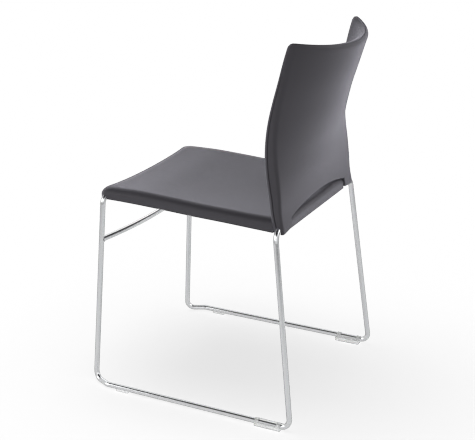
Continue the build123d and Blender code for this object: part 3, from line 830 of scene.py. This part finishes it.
for vertex in back_pad.data.vertices:
    column, row, layer = vertex.co
    inset, depth_share, lies = edge_profile(layer)
    from_middle = column - back_columns / 2
    side = 1 if from_middle > 0 else -1
    rise_share = row / back_rows
    side_roll = between(*(rear_roll if lies == "rear" else front_roll), rise_share)
    seam_back = between(*seam_in, rise_share)
    low_r = low_edge_r * inset
    top_share = max(0, (rise_share - (1 - top_round_share)) / top_round_share)
    groove = 0
    if lies == "seam" and depth_share == 0:
        groove = seam_depth * (1 - top_share)
    z = between(back_foot_z, back_top_z, rise_share)
    for settle_pass in range(settle_passes):
        half = back_half_at(z) - side_roll * inset - groove
        arch_half = arch_half_width + low_r
        if abs(from_middle) <= half_arch_columns:
            x = arch_half * from_middle / half_arch_columns
        else:
            ear_place = (abs(from_middle) - half_arch_columns) / ear_columns
            x = side * between(arch_half, half, ear_place)
        across_tips = abs(x) / back_tip_half_width
        top_z = back_top_z + back_top_dip * across_tips**back_top_power - top_roll[lies] * inset
        if row <= ear_rows:
            ear_share = min(1, max(0, (half - abs(x)) / (half - arch_half)))
            z = between(back_foot_z + ear_rise * ear_share, arch_foot_z, row / ear_rows) + low_r
            if abs(from_middle) < half_arch_columns:
                z = arch_z(x, lies) + low_r
        else:
            share_up = (row - ear_rows) / (back_rows - ear_rows)
            z = between(arch_z(x, lies) + low_r, top_z, share_up)
    over_x = (abs(x) - (half - tip_corner_r)) / tip_corner_r
    over_z = (z - (top_z - tip_corner_r)) / tip_corner_r
    if over_x > 0 and over_z > 0:
        round_x = over_x * math.sqrt(1 - over_z**2 / 2)
        round_z = over_z * math.sqrt(1 - over_x**2 / 2)
        x = side * (half - tip_corner_r + tip_corner_r * round_x)
        z = top_z - tip_corner_r + tip_corner_r * round_z
    front_y, rear_y = back_faces_y(x, z)
    thickness = rear_y - front_y
    on_side = column in (0, back_columns)
    at_low_rim = 0 if on_side or row > ear_rows else 1
    front_depth = between(between(seam_back, low_edge_r, at_low_rim), thickness / 2, top_share)
    rear_depth = between(between(side_roll, low_edge_r, at_low_rim), thickness / 2, top_share)
    if lies == "front":
        y = front_y + front_depth * depth_share
    elif lies == "rear":
        y = rear_y - rear_depth * depth_share
    else:
        y = front_y + front_depth + (depth_share + 1) * seam_width / 2
    vertex.co = (x, y, z)
back_pad.data.update()
cut_out(back_pad, slot_cutter(rear_run_y, rear_run_z, **rear_notch))
lay_cloth(
    back_pad,
    "back_pad",
    back_fill_share,
    "back_foam",
    "back_rear_padding",
    "back_cover_front",
    "back_cover_rear",
)


# The studio: a pale floor that only keeps the chair's soft shadow, and a white surround. Four broad
# lamps light the chair and not the floor, and two light the floor alone, one of them with no
# shadow. The dark ceiling shows only in reflections.
floor_reach = 6.0
floor_tint = (0.9, 0.9, 0.9, 1)
floor_dark = (0.895, 0.895, 0.895, 1)
floor_light = (0.905, 0.905, 0.905, 1)
floor_grain = 3
matt_roughness = 0.9
surround_tint = (1, 1, 1, 1)
surround_strength = 0.12
surround_seen_strength = 1.0
key_energy = 38
key_place = (-1.8, 2.4, 2.0)
key_span = 2.2
far_energy = 12
far_place = (-2.6, -1.3, 1.4)
far_span = 1.8
wing_energy = 34
wing_place = (1.9, -2.4, 1.6)
wing_span = 1.6
near_energy = 13
near_place = (2.6, 0.9, 1.9)
near_span = 1.8
top_energy = 10
top_place = (0.05, -0.4, 2.6)
top_span = 1.6
floor_energy = 160
floor_place = (0, 0, 3.0)
floor_span = 5.0
ceiling_z = 3.4
ceiling_reach = 3.4
ceiling_sides = 64
ceiling_tint = (0.05, 0.05, 0.055, 1)
aim = Vector((0, 0, 0.45))

bpy.ops.mesh.primitive_plane_add(size=2 * floor_reach, location=(0, 0, 0))
floor = bpy.context.object
floor.name = "floor"
floor_white, tree, shader = new_finish("floor_white", floor_tint, matt_roughness)
shader.inputs["Specular IOR Level"].default_value = 0
grain = tree.nodes.new("ShaderNodeTexNoise")
grain.inputs["Scale"].default_value = floor_grain
tint_by(tree, shader, grain.outputs["Fac"], floor_dark, floor_light)
floor.data.materials.append(floor_white)
floor.is_shadow_catcher = True

bpy.ops.mesh.primitive_circle_add(
    vertices=ceiling_sides, radius=ceiling_reach, fill_type="NGON", location=(0, 0, ceiling_z)
)
ceiling = bpy.context.object
ceiling.name = "ceiling"
ceiling.data.materials.append(new_finish("ceiling_black", ceiling_tint, matt_roughness)[0])
ceiling.visible_camera = False
ceiling.visible_diffuse = False
ceiling.visible_transmission = False
ceiling.visible_shadow = False

world = bpy.data.worlds.new("surround")
bpy.context.scene.world = world
world.use_nodes = True
nodes, links = world.node_tree.nodes, world.node_tree.links
sky = nodes["Background"]
sky.inputs["Color"].default_value = surround_tint
paths = nodes.new("ShaderNodeLightPath")
seen = nodes.new("ShaderNodeMath")
seen.operation = "MAXIMUM"
through = nodes.new("ShaderNodeMath")
through.operation = "MAXIMUM"
level = nodes.new("ShaderNodeMapRange")
level.inputs["To Min"].default_value = surround_strength
level.inputs["To Max"].default_value = surround_seen_strength
links.new(paths.outputs["Is Camera Ray"], seen.inputs[0])
links.new(paths.outputs["Is Transmission Ray"], seen.inputs[1])
links.new(seen.outputs[0], through.inputs[0])
links.new(paths.outputs["Is Glossy Ray"], through.inputs[1])
links.new(through.outputs[0], level.inputs["Value"])
links.new(level.outputs["Result"], sky.inputs["Strength"])

floor_only = bpy.data.collections.new("floor_only")
floor_only.objects.link(floor)
all_but_floor = bpy.data.collections.new("all_but_floor")
all_but_floor.objects.link(floor)
all_but_floor.collection_objects[0].light_linking.link_state = "EXCLUDE"


def softbox(name, place, span, energy, lights):
    """A square lamp aimed at the chair, which lights only what its collection lets it."""
    bpy.ops.object.light_add(type="AREA", location=place)
    lamp = bpy.context.object
    lamp.name = name
    lamp.data.size = span
    lamp.data.energy = energy
    lamp.rotation_mode = "QUATERNION"
    lamp.rotation_quaternion = (aim - Vector(place)).to_track_quat("-Z", "Y")
    lamp.light_linking.receiver_collection = lights
    return lamp


softbox("key_softbox", key_place, key_span, key_energy, all_but_floor)
softbox("far_softbox", far_place, far_span, far_energy, all_but_floor)
softbox("wing_softbox", wing_place, wing_span, wing_energy, all_but_floor)
softbox("near_softbox", near_place, near_span, near_energy, all_but_floor)
softbox("top_softbox", top_place, top_span, top_energy, floor_only)
floor_softbox = softbox("floor_softbox", floor_place, floor_span, floor_energy, floor_only)
floor_softbox.data.use_shadow = False
floor_softbox.visible_glossy = False


# The camera, at the photograph's viewing angle. Its turn, height, distance and lens were fitted
# together to the edges of the rods and the upholstery.
sensor_width = 36.0
photo_width_px = 475
focal_px = 1150.9
azimuth = math.radians(116.328)
elevation = math.radians(19.752)
distance = 2.74185
target = Vector((0.007607, -0.008339, 0.384511))

bpy.ops.object.camera_add()
camera = bpy.context.object
camera.data.sensor_width = sensor_width
camera.data.lens = focal_px / photo_width_px * sensor_width
away = Vector(
    (
        math.sin(azimuth) * math.cos(elevation),
        -math.cos(azimuth) * math.cos(elevation),
        math.sin(elevation),
    )
)
camera.location = target + away * distance
camera.rotation_mode = "QUATERNION"
camera.rotation_quaternion = (-away).to_track_quat("-Z", "Y")
bpy.context.scene.camera = camera
bpy.context.scene.view_settings.view_transform = "Standard"
